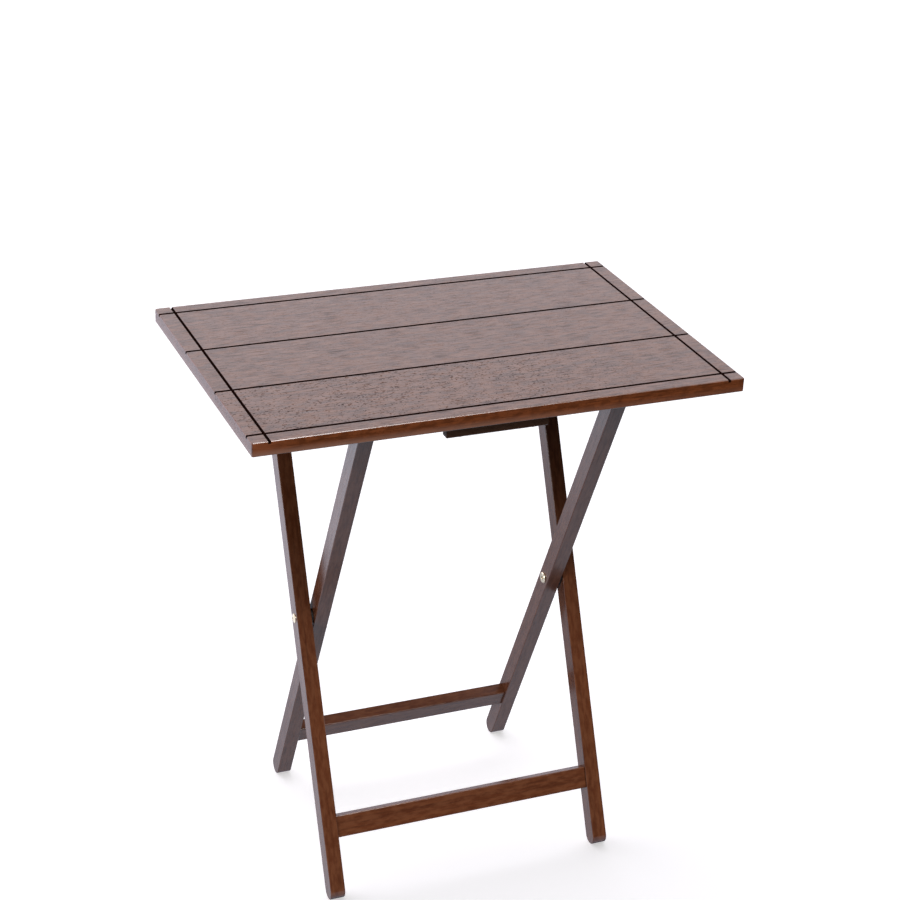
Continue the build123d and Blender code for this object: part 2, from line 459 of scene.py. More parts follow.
@dataclass(frozen=True)
class Finish:
    """What all finishes share: a name, the record's slot and a new material."""

    name: str
    slot: str

    def blank(
        self, suffix: str = ""
    ) -> tuple[NodeSheet, bpy.types.Material, bpy.types.Node, bpy.types.NodeSocket]:
        """Starts a material.

        Args:
            suffix: end of the material's name.

        Returns:
            Node sheet, material, shader node and Object coordinates.
        """
        material = bpy.data.materials.new(self.name + suffix)
        material.use_nodes = True
        sheet = NodeSheet(material.node_tree)
        shader = material.node_tree.nodes["Principled BSDF"]
        return sheet, material, shader, sheet.add("ShaderNodeTexCoord").outputs["Object"]

    def bump(self, sheet: NodeSheet, normal: bpy.types.NodeSocket, height: object, depth: float) -> None:
        """Feeds a normal input from a height.

        Args:
            sheet: the material's nodes.
            normal: input that takes the bumpy normal.
            height: output that holds the height.
            depth: what a height of 1 stands for, in metres.
        """
        node = sheet.add("ShaderNodeBump")
        node.inputs["Distance"].default_value = depth
        sheet.feed(node.inputs["Height"], height)
        sheet.feed(normal, node.outputs[0])


@dataclass(frozen=True)
class StainedWood(Finish):
    """Dark stain in open-pored wood, under satin lacquer."""

    pale: Triple
    dark: Triple
    rubbed: Triple
    pore_strength: float
    dash_strength: float
    wear: float = 0.45
    roughness: float = 0.55
    sheen_spread: float = 0.10
    lacquer_roughness: float = 0.21
    lacquer_ior: float = 1.5
    gloss_below_lacquer: float = 0.03
    pore_depth: float = 0.00003
    end_stain: float = 0.85
    end_tone: float = 0.3

    def material(self, grain: Grain) -> bpy.types.Material:
        """Wood with its grain in one direction.

        Args:
            grain: way the grain runs.

        Returns:
            The new material.
        """
        sheet, material, shader, where = self.blank("_" + grain.name.lower())
        turned = sheet.add("ShaderNodeMapping")
        turned.inputs["Rotation"].default_value = grain.value
        sheet.feed(turned.inputs["Vector"], where)
        along = turned.outputs[0]
        wood = self.stain(sheet, along, self.pale, self.dark, self.open_grain(sheet, where))
        sheen = sheet.place(
            HandSheen().tree(), Vector=along, Roughness=self.roughness, Spread=self.sheen_spread,
            Pores=wood.outputs["Pores"],
        )
        edge = sheet.attribute(ARRIS_MARK)
        wear = sheet.place(RubbedArris().tree(), Vector=along, Arris=edge, Amount=self.wear)
        worn = sheet.mix(wear.outputs["Wear"], wood.outputs["Color"], opaque(self.rubbed))
        soaked = sheet.maths("MULTIPLY", sheet.attribute(END_GRAIN_MARK), self.end_stain)
        ended = sheet.mix(soaked, worn, opaque(self.dark, self.end_tone))
        covered = sheet.maths("MULTIPLY", sheen.outputs["Lacquer"], sheet.maths("SUBTRACT", 1.0, soaked))
        colour, lacquer = self.worked(sheet, where, ended, covered)
        sheet.feed(shader.inputs["Base Color"], colour)
        sheet.feed(shader.inputs["Roughness"], sheen.outputs["Roughness"])
        sheet.feed(shader.inputs["Coat Weight"], lacquer)
        shader.inputs["Coat Roughness"].default_value = self.lacquer_roughness
        shader.inputs["Coat IOR"].default_value = self.lacquer_ior
        shader.inputs["Specular IOR Level"].default_value = self.gloss_below_lacquer
        self.bump(sheet, shader.inputs["Normal"], wood.outputs["Height"], self.pore_depth)
        return material

    def stain(
        self, sheet: NodeSheet, along: object, pale: Triple, dark: Triple, pores: object
    ) -> bpy.types.Node:
        """Places the stained grain.

        Args:
            sheet: the material's nodes.
            along: coordinates with X along the grain.
            pale: paler tone.
            dark: darker tone.
            pores: strength of the open pores.

        Returns:
            The group's node.
        """
        return sheet.place(
            StainedGrain().tree(), Vector=along, Pale=opaque(pale), Dark=opaque(dark), Pore_Strength=pores,
            Dash_Strength=self.dash_strength,
        )

    def open_grain(self, sheet: NodeSheet, where: object) -> object:
        """Strength of the pores, the same all over plain wood."""
        return self.pore_strength

    def worked(
        self, sheet: NodeSheet, where: object, colour: object, lacquer: object
    ) -> tuple[object, object]:
        """Colour and lacquer after work on the piece, of which plain wood has none."""
        return colour, lacquer


@dataclass(frozen=True)
class GroovedWood(StainedWood):
    """Stained board with near-black grooves, and edges all round in a paler tone that is painted light
    brightening the front face.
    """

    other_pores: float = 0.35
    pores_fade: Span = (0.0, 0.26)
    plank_feather: float = 0.001
    # Near-black colour in the grooves, reaching by groove_overlap over their rounded lips and darkening
    # them too.
    groove_near_black: Triple = (0.0035, 0.0012, 0.0008)
    groove_overlap: Span = (0.0002, 0.0005)
    cross_groove_overlap: Span = (-0.0002, 0.0002)
    top_skin: Span = (0.00004, 0.00001)
    groove_slack: float = 0.0002
    # Edge tones, paler than the top: painted light that brightens the front face.
    edge_pale_painted_light: Triple = (0.106, 0.0300, 0.0098)
    edge_dark_painted_light: Triple = (0.064, 0.0165, 0.0046)
    edge_band: float = 0.0007
    edge_solid: float = 0.6
    blotches: Pattern = Pattern((75.0, 140.0, 140.0), 3.0)
    blotch_span: Span = (0.42, 0.62)
    blotch_share: float = 0.65
    blotch_tone: float = 0.6
    front_skin: float = 0.0002
    front_lacquer: float = 0.4
    # Painted light: a lighter tone at the left end of the front edge, where the light falls most.
    left_end_light: Triple = (0.165, 0.052, 0.022)
    left_end_light_share: float = 0.36
    left_end_light_length: float = 0.06
    # Painted reflection: a pale greyer tone standing in for the floor reflected in the lower edge,
    # strongest to the left.
    floor_reflection: Triple = (0.118, 0.060, 0.042)
    floor_reflection_shares: Span = (0.9, 0.3)
    floor_reflection_run: Span = (-0.2, 0.28)
    floor_reflection_height: float = 0.010

    def open_grain(self, sheet: NodeSheet, where: object) -> object:
        """Strength of the pores, which show most in the front plank and fade to its right end.

        Args:
            sheet: the material's nodes.
            where: Object coordinates.

        Returns:
            The strength's output.
        """
        x, y, _ = sheet.axes(where)
        from_plank = sheet.maths("ABSOLUTE", sheet.maths("ADD", y, TRAY.plank))
        in_plank = sheet.ramp(x, self.pores_fade, self.pore_strength, self.other_pores)
        border = (TRAY.plank / 2 - self.plank_feather, TRAY.plank / 2)
        return sheet.ramp(from_plank, border, in_plank, self.other_pores)

    def worked(
        self, sheet: NodeSheet, where: object, colour: object, lacquer: object
    ) -> tuple[object, object]:
        """Lays the edge tone, which holds painted light, and the near-black of the grooves over the board.

        Args:
            sheet: the material's nodes.
            where: Object coordinates.
            colour: the board's colour.
            lacquer: the board's lacquer.

        Returns:
            The new colour and lacquer.
        """
        _, y, _ = sheet.axes(where)
        front = sheet.ramp(y, (-TRAY.half_width, -TRAY.half_width + self.front_skin), 1.0, 0.0)
        groove = self.grooves(sheet, where)
        # The edges take their paler tone, which is painted light on the front face.
        edged = sheet.mix(self.rim(sheet, where), colour, self.edge(sheet, where, front))
        # The grooves and their lips take the near-black colour.
        stained = sheet.mix(groove, edged, opaque(self.groove_near_black))
        bare = sheet.maths("MAXIMUM", groove, sheet.maths("MULTIPLY", front, 1.0 - self.front_lacquer))
        return stained, sheet.maths("MULTIPLY", lacquer, sheet.maths("SUBTRACT", 1.0, bare))

    def rim(self, sheet: NodeSheet, where: object) -> bpy.types.NodeSocket:
        """Finds the edges all round the board.

        Args:
            sheet: the material's nodes.
            where: Object coordinates.

        Returns:
            The edges as a mask.
        """
        x, y, _ = sheet.axes(where)
        past_end = sheet.maths("SUBTRACT", sheet.maths("ABSOLUTE", x), TRAY.half_length)
        past_side = sheet.maths("SUBTRACT", sheet.maths("ABSOLUTE", y), TRAY.half_width)
        past_both = sheet.maths("MAXIMUM", past_end, past_side)
        return sheet.ramp(past_both, (-self.edge_band, -self.edge_solid * self.edge_band))

    def edge(self, sheet: NodeSheet, where: object, front: object) -> bpy.types.NodeSocket:
        """Tone of the edges, paler than the top as painted light on the front face: blotchy, with painted
        light at the left end of the front and a painted reflection of the floor along the lower edge.

        Args:
            sheet: the material's nodes.
            where: Object coordinates.
            front: mask of the front edge.

        Returns:
            The colour's output.
        """
        x, _, z = sheet.axes(where)
        tone = self.stain(sheet, where, self.edge_pale_painted_light, self.edge_dark_painted_light, self.other_pores).outputs["Color"]
        blotch = sheet.ramp(sheet.noise(where, self.blotches), self.blotch_span, 0.0, self.blotch_share)
        tone = sheet.mix(blotch, tone, opaque(self.edge_dark_painted_light, self.blotch_tone))
        # Painted light at the left end of the front edge.
        left_end = (-TRAY.half_length, -TRAY.half_length + self.left_end_light_length)
        left_light = sheet.maths("MULTIPLY", front, sheet.ramp(x, left_end, self.left_end_light_share, 0.0))
        tone = sheet.mix(left_light, tone, opaque(self.left_end_light))
        # Painted reflection of the pale floor along the lower edge, fading to the right.
        lower_edge = (TRAY.underside, TRAY.underside + self.floor_reflection_height)
        wear = sheet.ramp(z, lower_edge, sheet.ramp(x, self.floor_reflection_run, *self.floor_reflection_shares), 0.0)
        return sheet.mix(wear, tone, opaque(self.floor_reflection))

    def grooves(self, sheet: NodeSheet, where: object) -> bpy.types.NodeSocket:
        """Finds the grooves.

        Args:
            sheet: the material's nodes.
            where: Object coordinates.

        Returns:
            The grooves as a mask.
        """
        x, y, z = sheet.axes(where)
        half_plank = TRAY.plank / 2
        from_lines = sheet.maths("PINGPONG", sheet.maths("SUBTRACT", y, half_plank), half_plank)
        from_cuts = sheet.maths("SUBTRACT", sheet.maths("ABSOLUTE", x), TRAY.cross_groove)
        lines, cuts = (
            sheet.ramp(distance, tuple(TRAY.groove / 2 + past for past in overlap), 1.0, 0.0)
            for distance, overlap in (
                (from_lines, self.groove_overlap),
                (sheet.maths("ABSOLUTE", from_cuts), self.cross_groove_overlap),
            )
        )
        below_top = sheet.ramp(z, tuple(TRAY.top - depth for depth in self.top_skin), 1.0, 0.0)
        above_floor = sheet.maths("GREATER_THAN", z, TRAY.top - TRAY.groove_depth - self.groove_slack)
        either = sheet.maths("MAXIMUM", lines, sheet.maths("MULTIPLY", cuts, below_top))
        return sheet.maths("MULTIPLY", above_floor, either)


@dataclass(frozen=True)
class SpottedFinish(Finish):
    """Plain surface with spots of a second tone, an uneven sheen and a fine skin."""

    base: Triple
    spot: Triple
    roughness: float
    spots: Pattern
    spot_span: Span
    skin: Pattern
    skin_depth: float
    sheen_scale: float
    sheen_spread: float
    metallic: float = 0.0

    def material(self) -> bpy.types.Material:
        """Makes the material.

        Returns:
            The new material.
        """
        sheet, material, shader, where = self.blank()
        spots = sheet.ramp(sheet.noise(where, self.spots), self.spot_span)
        sheen = sheet.place(
            HandSheen().tree(), Vector=sheet.stretched(where, (self.sheen_scale,) * 3),
            Roughness=self.roughness, Spread=self.sheen_spread, Pores=0.0,
        )
        sheet.feed(shader.inputs["Base Color"], sheet.mix(spots, opaque(self.base), opaque(self.spot)))
        sheet.feed(shader.inputs["Roughness"], sheen.outputs["Roughness"])
        shader.inputs["Metallic"].default_value = self.metallic
        self.bump(sheet, shader.inputs["Normal"], sheet.noise(where, self.skin), self.skin_depth)
        return material


@dataclass(frozen=True)
class PlatedMetal(SpottedFinish):
    """Thin bright plate on steel, with fine turning marks and dull spots."""

    spots: Pattern = Pattern((420.0, 420.0, 420.0), 3.0, 0.6)
    spot_span: Span = (0.45, 0.75)
    skin: Pattern = Pattern((5200.0, 700.0, 700.0), 2.0)
    skin_depth: float = 0.00001
    sheen_scale: float = 30.0
    sheen_spread: float = 0.18
    metallic: float = 1.0


@dataclass(frozen=True)
class MouldedNylon(SpottedFinish):
    """Matt moulded plastic with scuffs and a fine spark-eroded skin."""

    spots: Pattern = Pattern((260.0, 260.0, 260.0), 4.0, 0.65)
    spot_span: Span = (0.5, 0.8)
    skin: Pattern = Pattern((3200.0, 3200.0, 3200.0), 2.0)
    skin_depth: float = 0.00002
    sheen_scale: float = 20.0
    sheen_spread: float = 0.15


TRAY_WOOD = GroovedWood(
    "tray_wood", "tray_wood", pale=(0.044, 0.0145, 0.0062), dark=(0.020, 0.0061, 0.0024),
    rubbed=(0.10, 0.042, 0.021), pore_strength=0.9, dash_strength=0.64, lacquer_roughness=0.30,
    lacquer_ior=1.65, gloss_below_lacquer=0.0, end_stain=0.0,
)
FRAME_WOOD = StainedWood(
    "frame_wood", "frame_wood", pale=(0.060, 0.0160, 0.0049), dark=(0.036, 0.0090, 0.0026),
    rubbed=(0.09, 0.033, 0.014), pore_strength=0.2, dash_strength=0.3,
)
BLOCK_WOOD = StainedWood(
    "block_wood", "frame_wood", pale=(0.084, 0.040, 0.022), dark=(0.056, 0.026, 0.014),
    rubbed=(0.10, 0.05, 0.03), pore_strength=0.2, dash_strength=0.3,
)
BRASS = PlatedMetal(
    "brass_plate", "brassed_steel", base=(0.80, 0.71, 0.54), spot=(0.56, 0.48, 0.35), roughness=0.28
)
ZINC = PlatedMetal(
    "zinc_plate", "zinc_steel", base=(0.60, 0.60, 0.58), spot=(0.42, 0.42, 0.41), roughness=0.34
)
NYLON = MouldedNylon(
    "black_nylon", "black_nylon", base=(0.004, 0.004, 0.0045), spot=(0.012, 0.012, 0.0125), roughness=0.7
)


def put(name: str, mesh: bpy.types.Mesh, body: Body, nodes: list[str]) -> bpy.types.Object:
    """Puts a finished mesh in the scene.

    Args:
        name: the piece's name.
        mesh: mesh with its place in its points.
        body: body that carries it.
        nodes: solids that it stands for.

    Returns:
        The new object.
    """
    mesh.shade_smooth()
    mesh.set_sharp_from_angle(angle=SHARP_ANGLE)
    piece = bpy.data.objects.new(name, mesh)
    bpy.context.scene.collection.objects.link(piece)
    settle_normals(piece)
    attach(piece, body.value)
    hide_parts(*nodes)
    log.info("%s on %s, %d faces", name, body.value, len(piece.data.polygons))
    return piece


def settle_normals(piece: bpy.types.Object) -> None:
    """Gives broad faces flat normals, so that only the eased edges look round.

    Args:
        piece: object that gets a new mesh.
    """
    modifier = piece.modifiers.new("flat_faces", "WEIGHTED_NORMAL")
    modifier.mode = "FACE_AREA"
    modifier.weight = BROAD_FACE_WEIGHT
    modifier.keep_sharp = True
    ready = piece.evaluated_get(bpy.context.evaluated_depsgraph_get())
    settled = bpy.data.meshes.new_from_object(ready)
    piece.modifiers.remove(modifier)
    rough = piece.data
    piece.data = settled
    bpy.data.meshes.remove(rough)
    settled.name = piece.name


def eased(
    node: str, round_to: float, material: bpy.types.Material, grain: Grain = Grain.ALONG_TRAY
) -> bpy.types.Mesh:
    """Copy of a solid whose outer edges are rounded, with those edges and the end grain marked.

    Args:
        node: the solid's name.
        round_to: width of the rounding.
        material: the copy's material.
        grain: way the grain runs.

    Returns:
        The new mesh.
    """
    work = bmesh.new()
    work.from_mesh(frame["nodes"][node].data)
    bmesh.ops.remove_doubles(work, verts=work.verts, dist=SAME_POINT)
    bmesh.ops.dissolve_limit(work, angle_limit=FLAT_ANGLE, verts=work.verts, edges=work.edges)
    mark = work.verts.layers.float.new(ARRIS_MARK)
    edges = [e for e in work.edges if e.is_convex and e.calc_face_angle(0.0) > EASED_ANGLE]
    made = bmesh.ops.bevel(
        work, geom=edges, offset=round_to, segments=2, profile=0.5, affect="EDGES", clamp_overlap=True
    )
    for vertex in made["verts"]:
        vertex[mark] = 1.0
    ends = work.faces.layers.float.new(END_GRAIN_MARK)
    along = Euler(grain.value).to_matrix().transposed() @ Vector((1, 0, 0))
    for face in work.faces:
        face.normal_update()
        face[ends] = float(abs(face.normal.dot(along)) > END_GRAIN_FACING)
    mesh = bpy.data.meshes.new(node + "_eased")
    work.to_mesh(mesh)
    work.free()
    mesh.materials.clear()
    mesh.materials.append(material)
    return mesh


@dataclass(frozen=True)
class HeadTree:
    """Geometry Nodes tree for screws and bolts with domed, cross-recessed heads."""

    rings: int = 12
    sides: int = 48

    @cache
    def tree(self) -> bpy.types.NodeTree:
        """Builds the tree once.

        Returns:
            Tree that puts a fastener on each point, turned by the point's attribute turn.
        """
        tree = bpy.data.node_groups.new("headed_fasteners", "GeometryNodeTree")
        sizes = ("Head Diameter", "Rim", "Crown", "Recess Length", "Recess Width", "Recess Depth",
                 "Shank Diameter", "Shank Length")
        tree.interface.new_socket("Points", in_out="INPUT", socket_type="NodeSocketGeometry")
        for size in sizes:
            tree.interface.new_socket(size, in_out="INPUT", socket_type="NodeSocketFloat")
        tree.interface.new_socket("Material", in_out="INPUT", socket_type="NodeSocketMaterial")
        tree.interface.new_socket("Fasteners", in_out="OUTPUT", socket_type="NodeSocketGeometry")
        sheet = NodeSheet(tree)
        given = sheet.add("NodeGroupInput").outputs
        join = sheet.add("GeometryNodeJoinGeometry")
        for part in (self.head(sheet, given), self.shank(sheet, given)):
            sheet.feed(join.inputs[0], part)
        turn = sheet.add("GeometryNodeInputNamedAttribute", data_type="FLOAT_VECTOR")
        turn.inputs["Name"].default_value = "turn"
        rotation = sheet.add("FunctionNodeEulerToRotation")
        sheet.feed(rotation.inputs[0], turn.outputs["Attribute"])
        copies = sheet.add("GeometryNodeInstanceOnPoints")
        sheet.feed(copies.inputs["Points"], given["Points"])
        sheet.feed(copies.inputs["Instance"], join.outputs[0])
        sheet.feed(copies.inputs["Rotation"], rotation.outputs[0])
        real = sheet.add("GeometryNodeRealizeInstances")
        sheet.feed(real.inputs[0], copies.outputs[0])
        painted = sheet.add("GeometryNodeSetMaterial")
        sheet.feed(painted.inputs["Geometry"], real.outputs[0])
        sheet.feed(painted.inputs["Material"], given["Material"])
        sheet.feed(sheet.add("NodeGroupOutput").inputs[0], painted.outputs[0])
        return tree

    def head(self, sheet: NodeSheet, given: bpy.types.NodeOutputs) -> bpy.types.NodeSocket:
        """Domed head that stands on z = 0, with a cross sunk into its crown.

        Args:
            sheet: the tree's nodes.
            given: the tree's inputs.

        Returns:
            The head's geometry output.
        """
        radius = sheet.maths("MULTIPLY", given["Head Diameter"], 0.5)
        disc = sheet.add("GeometryNodeMeshCylinder", fill_type="TRIANGLE_FAN")
        disc.inputs["Vertices"].default_value = self.sides
        disc.inputs["Fill Segments"].default_value = self.rings
        sheet.feed(disc.inputs["Radius"], radius)
        sheet.feed(disc.inputs["Depth"], given["Rim"])
        x, y, z = sheet.axes(sheet.add("GeometryNodeInputPosition").outputs[0])
        square = sheet.maths("ADD", sheet.maths("MULTIPLY", x, x), sheet.maths("MULTIPLY", y, y))
        spread = sheet.maths("DIVIDE", square, sheet.maths("MULTIPLY", radius, radius))
        dome = sheet.maths("MULTIPLY", given["Crown"], sheet.maths("SUBTRACT", 1.0, spread))
        arms = [
            sheet.maths(
                "MULTIPLY",
                self.within(sheet, one, given["Recess Length"]),
                self.within(sheet, other, given["Recess Width"]),
            )
            for one, other in ((x, y), (y, x))
        ]
        sunk = sheet.maths("MULTIPLY", sheet.maths("MAXIMUM", *arms), given["Recess Depth"])
        on_top = sheet.maths("GREATER_THAN", z, 0.0)
        rise = sheet.maths("MULTIPLY", on_top, sheet.maths("SUBTRACT", dome, sunk))
        lift = sheet.add("ShaderNodeCombineXYZ")
        sheet.feed(lift.inputs[2], sheet.maths("ADD", rise, sheet.maths("MULTIPLY", given["Rim"], 0.5)))
        moved = sheet.add("GeometryNodeSetPosition")
        sheet.feed(moved.inputs["Geometry"], disc.outputs["Mesh"])
        sheet.feed(moved.inputs["Offset"], lift.outputs[0])
        return moved.outputs[0]

    def within(self, sheet: NodeSheet, value: object, width: object) -> bpy.types.NodeSocket:
        """1 where a value lies inside a width about 0, and 0 elsewhere."""
        half = sheet.maths("MULTIPLY", width, 0.5)
        return sheet.maths("LESS_THAN", sheet.maths("ABSOLUTE", value), half)

    def shank(self, sheet: NodeSheet, given: bpy.types.NodeOutputs) -> bpy.types.NodeSocket:
        """Plain shank below the head.

        Args:
            sheet: the tree's nodes.
            given: the tree's inputs.

        Returns:
            The shank's geometry output.
        """
        rod = sheet.add("GeometryNodeMeshCylinder")
        rod.inputs["Vertices"].default_value = self.sides // 2
        sheet.feed(rod.inputs["Radius"], sheet.maths("MULTIPLY", given["Shank Diameter"], 0.5))
        sheet.feed(rod.inputs["Depth"], given["Shank Length"])
        drop = sheet.add("ShaderNodeCombineXYZ")
        sheet.feed(drop.inputs[2], sheet.maths("MULTIPLY", given["Shank Length"], -0.5))
        moved = sheet.add("GeometryNodeTransform")
        sheet.feed(moved.inputs["Geometry"], rod.outputs["Mesh"])
        sheet.feed(moved.inputs["Translation"], drop.outputs[0])
        return moved.outputs[0]


@dataclass
class Fasteners:
    """Alike screws or bolts on one body."""

    name: str
    body: Body
    nodes: list[str]
    finish: PlatedMetal
    head_diameter: float
    rim: float
    crown: float
    shank_diameter: float
    shank_length: float
    recess_length: float = 0.0046
    recess_width: float = 0.0012
    recess_depth: float = 0.0013

    def build(self, seats: list[tuple[Vector, Vector]]) -> bpy.types.Object:
        """Makes the fasteners at their seats.

        Args:
            seats: middle of each head's underside, and the direction that the head faces.

        Returns:
            The finished piece.
        """
        chance = random.Random(SEED)
        points = bpy.data.meshes.new(self.name + "_points")
        points.from_pydata([place for place, _ in seats], [], [])
        turn = points.attributes.new("turn", "FLOAT_VECTOR", "POINT")
        for item, (_, facing) in zip(turn.data, seats):
            twist = Quaternion((0, 0, 1), chance.uniform(0, math.pi))
            item.vector = (facing.to_track_quat("Z", "Y") @ twist).to_euler()
        holder = bpy.data.objects.new(self.name + "_points", points)
        bpy.context.scene.collection.objects.link(holder)
        modifier = holder.modifiers.new("heads", "NODES")
        modifier.node_group = HeadTree().tree()
        values = {
            "Head Diameter": self.head_diameter,
            "Rim": self.rim,
            "Crown": self.crown,
            "Recess Length": self.recess_length,
            "Recess Width": self.recess_width,
            "Recess Depth": self.recess_depth,
            "Shank Diameter": self.shank_diameter,
            "Shank Length": self.shank_length,
            "Material": self.finish.material(),
        }
        for socket in modifier.node_group.interface.items_tree:
            if socket.in_out == "INPUT" and socket.name in values:
                modifier[socket.identifier] = values[socket.name]
        ready = holder.evaluated_get(bpy.context.evaluated_depsgraph_get())
        mesh = bpy.data.meshes.new_from_object(ready)
        mesh.name = self.name
        holder.modifiers.remove(modifier)
        bpy.data.objects.remove(holder)
        return put(self.name, mesh, self.body, self.nodes)


@dataclass
class Tray:
    """Grooved board with its hinge cleats, catch block and screws."""

    board_round: float = 0.0003
    block_round: float = 0.0005
    screw_head: float = 0.0075
    screw_head_tall: float = 0.0022
    screw_rim: float = 0.0005
    screw_crown: float = 0.0007
    screw: float = 0.004

    def build(self) -> None:
        """Makes all pieces of the tray."""
        board = eased("tray_top", self.board_round, TRAY_WOOD.material(Grain.ALONG_TRAY))
        put("tray_board", board, Body.TRAY, ["tray_top"])
        for finish, nodes in (
            (FRAME_WOOD, ("left_hinge_cleat", "right_hinge_cleat")),
            (BLOCK_WOOD, ("catch_block",)),
        ):
            wood = finish.material(Grain.ALONG_TRAY)
            for node in nodes:
                put(node + "_wood", eased(node, self.block_round, wood), Body.TRAY, [node])
        for node in ("cleat_screws", "catch_block_screws"):
            self.screws(node)

    def screws(self, node: str) -> None:
        """Makes one group of screws at the corners of its solids' box.

        Args:
            node: solids that they stand for.
        """
        low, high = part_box(node)
        radius = self.screw_head / 2
        seat = low.z + self.screw_head_tall
        across = sorted({round(v, 5) for v in (low.y + radius, high.y - radius)})
        seats = [
            (Vector((x, y, seat)), Vector((0, 0, -1)))
            for x in (low.x + radius, high.x - radius)
            for y in across
        ]
        Fasteners(
            node + "_heads", Body.TRAY, [node], ZINC, head_diameter=self.screw_head, rim=self.screw_rim,
            crown=self.screw_crown, shank_diameter=self.screw, shank_length=high.z - seat,
        ).build(seats)


@dataclass
class LegFrame:
    """Two legs and their stretcher."""

    name: str
    body: Body
    grain: Grain
    stretcher: str
    leg_round: float = 0.0004
    rail_round: float = 0.0004

    def build(self) -> None:
        """Makes the frame's wooden pieces."""
        upright = FRAME_WOOD.material(self.grain)
        level = FRAME_WOOD.material(Grain.ALONG_TRAY)
        for side in ("left", "right"):
            node = f"{side}_{self.name}_leg"
            leg = eased(node, self.leg_round, upright, self.grain)
            put(node + "_wood", leg, self.body, [node])
        rail = eased(self.stretcher, self.rail_round, level)
        put(self.stretcher + "_wood", rail, self.body, [self.stretcher])


@dataclass
class InnerFrame(LegFrame):
    """Leg frame with a bar between its tops."""

    bar: str = "top_bar"

    def build(self) -> None:
        """Makes the frame and its bar."""
        super().build()
        rod = eased(self.bar, self.rail_round, FRAME_WOOD.material(Grain.ALONG_TRAY))
        put(self.bar + "_wood", rod, self.body, [self.bar])


@dataclass
class Pivots:
    """Bolts, nuts and rings on which the legs and the tray turn."""

    bolt_head: float = 0.012
    bolt_head_rim: float = 0.0009
    bolt_head_tall: float = 0.0026
    cross_bolt: float = 0.005
    hinge_bolt: float = 0.006
    turned_round: float = 0.0002

    def build(self) -> None:
        """Makes all hardware of the pivots."""
        self.bolts("leg_pivot_bolts", CROSSING, self.cross_bolt)
        self.bolts("tray_hinge_bolts", HINGE, self.hinge_bolt)
        for finish, nodes in (
            (BRASS, ("leg_pivot_nuts", "tray_hinge_nuts")),
            (ZINC, ("nut_washers",)),
            (NYLON, ("leg_pivot_spacers", "tray_hinge_washers")),
        ):
            material = finish.material()
            for node in nodes:
                turned = eased(node, self.turned_round, material)
                put(node + "_turned", turned, Body.OUTER_FRAME, [node])

    def bolts(self, node: str, axis: Vector, diameter: float) -> None:
        """Makes the left and right bolt of one axis.

        Args:
            node: solids that they stand for.
            axis: a point of their axis.
            diameter: of the shank.
        """
        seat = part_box(node)[1].x - self.bolt_head_tall
        inner_end = min(abs(v.co.x) for v in frame["nodes"][node].data.vertices)
        seats = [(Vector((side * seat, axis.y, axis.z)), Vector((side, 0, 0))) for side in (-1, 1)]
        crown = self.bolt_head_tall - self.bolt_head_rim
        Fasteners(
            node + "_heads", Body.OUTER_FRAME, [node], BRASS, head_diameter=self.bolt_head,
            rim=self.bolt_head_rim, crown=crown, shank_diameter=diameter, shank_length=seat - inner_end,
        ).build(seats)


@dataclass(frozen=True)
class PhotoCamera:
    """Camera that was fitted to the edges of the photographed table."""

    azimuth: float = 22.996
    elevation: float = 25.672
    roll: float = 2.523
    distance: float = 2.65433
    aside: float = 0.015749
    above: float = 0.03938
    target_height: float = 0.47366
    focal_pixels: float = 2153.289
    image_pixels: float = 900.0
    sensor: float = 36.0

    def build(self) -> bpy.types.Object:
        """Makes the camera.

        Returns:
            The scene's camera.
        """
        a = math.radians(self.azimuth)
        e = math.radians(self.elevation)
        ahead = Vector((math.sin(a) * math.cos(e), math.cos(a) * math.cos(e), -math.sin(e)))
        right = Vector((math.cos(a), -math.sin(a), 0.0))
        right = Quaternion(-ahead, math.radians(self.roll)) @ right
        up = right.cross(ahead)
        target = Vector((0, 0, self.target_height))
        place = target - ahead * self.distance + right * self.aside + up * self.above
        data = bpy.data.cameras.new("photo_camera")
        data.sensor_width = self.sensor
        data.lens = self.focal_pixels * self.sensor / self.image_pixels
        camera = bpy.data.objects.new("photo_camera", data)
        turn = Matrix((right, up, -ahead)).transposed().to_4x4()
        camera.matrix_world = Matrix.Translation(place) @ turn
        bpy.context.scene.collection.objects.link(camera)
        bpy.context.scene.camera = camera
        return camera


@dataclass(frozen=True)
class SoftLight:
    """Square soft light that looks at the tray and leaves the floor alone."""

    name: str
    place: Triple
    size: float
    power: float

    def build(self, receivers: bpy.types.Collection) -> None:
        """Makes the light.

        Args:
            receivers: collection of the pieces that it lights.
        """
        data = bpy.data.lights.new(self.name, "AREA")
        data.energy = self.power
        data.size = self.size
        lamp = bpy.data.objects.new(self.name, data)
        place = Vector(self.place)
        turn = (Vector((0, 0, TRAY.top)) - place).to_track_quat("-Z", "Y")
        lamp.matrix_world = Matrix.Translation(place) @ turn.to_matrix().to_4x4()
        bpy.context.scene.collection.objects.link(lamp)
        lamp.light_linking.receiver_collection = receivers


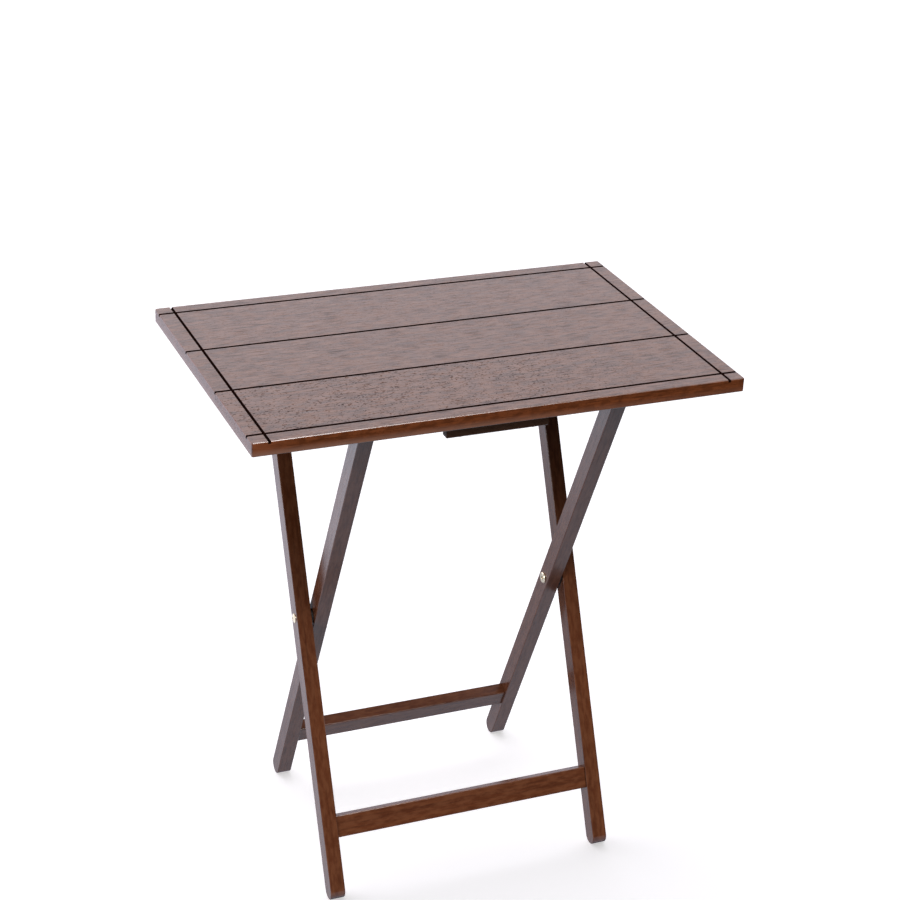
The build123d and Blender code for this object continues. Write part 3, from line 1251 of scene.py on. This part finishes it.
@dataclass
class Studio:
    """White paper below and behind the table, soft lights on the table and a dim room in front."""

    floor_half: float = 9.0
    paper: Triple = (0.86, 0.86, 0.86)
    paper_roughness: float = 0.9
    paper_gloss: float = 0.1
    paper_glow: float = 0.58
    open_glow: float = 0.85
    left_glow: float = 1.45
    shaded_glow: float = 0.6
    room_glow: float = 0.02
    shade_ahead: Span = (0.0, 0.3)
    shade_aside: Span = (-0.45, -0.15)
    paper_front: Span = (-0.9, -0.3)
    floor_tint: Triple = (0.87, 0.91, 1.06)
    rear_light: float = 1.79
    front_light: float = 0.03
    front_to_rear: Span = (-0.15, 0.55)
    left_sky: float = 1.25
    right_sky: float = 0.70
    left_to_right: Span = (-0.6, 1.0)
    sky_tint: Triple = (0.98, 0.945, 1.02)
    key: SoftLight = SoftLight("key_light", (0.3, -2.6, 4.9), 2.6, 520.0)
    fill: SoftLight = SoftLight("fill_light", (-3.9, -2.5, 2.5), 2.0, 230.0)

    def build(self) -> None:
        """Makes the floor and the lights."""
        self.floor()
        self.sky()
        table = bpy.data.collections.new("lit_table")
        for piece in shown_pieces():
            table.objects.link(piece)
        self.key.build(table)
        self.fill.build(table)
        bpy.context.scene.view_settings.view_transform = "Standard"

    def floor(self) -> None:
        """Makes the plain pale floor, whose light on the table is that of a floor in the table's shade."""
        work = bmesh.new()
        bmesh.ops.create_grid(work, x_segments=1, y_segments=1, size=self.floor_half)
        mesh = bpy.data.meshes.new("floor")
        work.to_mesh(mesh)
        work.free()
        material = bpy.data.materials.new("floor_paper")
        material.use_nodes = True
        sheet = NodeSheet(material.node_tree)
        shader = material.node_tree.nodes["Principled BSDF"]
        x, y, _ = sheet.axes(sheet.add("ShaderNodeTexCoord").outputs["Object"])
        seen = sheet.add("ShaderNodeLightPath").outputs["Is Camera Ray"]
        sheet.feed(shader.inputs["Base Color"], sheet.mix(seen, opaque(BLACK), opaque(self.paper)))
        behind = sheet.ramp(y, self.shade_ahead, self.open_glow, self.shaded_glow)
        beside = sheet.ramp(x, self.shade_aside, self.left_glow, behind)
        around = sheet.ramp(y, self.paper_front, self.room_glow, beside)
        glow = sheet.ramp(seen, (0.0, 1.0), around, self.paper_glow)
        sheet.feed(shader.inputs["Emission Strength"], glow)
        tinted = sheet.mix(seen, opaque(self.floor_tint), opaque(WHITE))
        sheet.feed(shader.inputs["Emission Color"], tinted)
        from_below = sheet.add("ShaderNodeNewGeometry").outputs["Backfacing"]
        clear = sheet.maths("MULTIPLY", seen, from_below)
        sheet.feed(shader.inputs["Alpha"], sheet.maths("SUBTRACT", 1.0, clear))
        shader.inputs["Roughness"].default_value = self.paper_roughness
        shader.inputs["Specular IOR Level"].default_value = self.paper_gloss
        material.cycles.emission_sampling = "NONE"
        mesh.materials.append(material)
        floor = bpy.data.objects.new("floor", mesh)
        bpy.context.scene.collection.objects.link(floor)
        floor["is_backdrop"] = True

    def sky(self) -> None:
        """Makes the soft surround, bright to the rear, dim to the front and white where it is seen."""
        world = bpy.data.worlds.new("studio")
        world.use_nodes = True
        sheet = NodeSheet(world.node_tree)
        to_right, to_rear, _ = sheet.axes(sheet.add("ShaderNodeTexCoord").outputs["Generated"])
        background = world.node_tree.nodes["Background"]
        sideways = sheet.ramp(to_right, self.left_to_right, self.left_sky, self.right_sky)
        depthways = sheet.ramp(to_rear, self.front_to_rear, self.front_light, self.rear_light)
        strength = sheet.maths("MULTIPLY", sideways, depthways)
        seen = sheet.add("ShaderNodeLightPath").outputs["Is Camera Ray"]
        sheet.feed(background.inputs["Strength"], sheet.ramp(seen, (0.0, 1.0), strength, 1.0))
        sheet.feed(background.inputs["Color"], sheet.mix(seen, opaque(self.sky_tint), opaque(WHITE)))
        bpy.context.scene.world = world


def main() -> None:
    """Builds the table's pieces in order, then the studio."""
    logging.basicConfig(level=logging.INFO, format="%(message)s")
    Tray().build()
    LegFrame("outer", Body.OUTER_FRAME, Grain.UP_OUTER_LEG, "front_stretcher").build()
    InnerFrame("inner", Body.INNER_FRAME, Grain.UP_INNER_LEG, "rear_stretcher").build()
    Pivots().build()
    PhotoCamera().build()
    Studio().build()


if __name__ == "__main__":
    main()
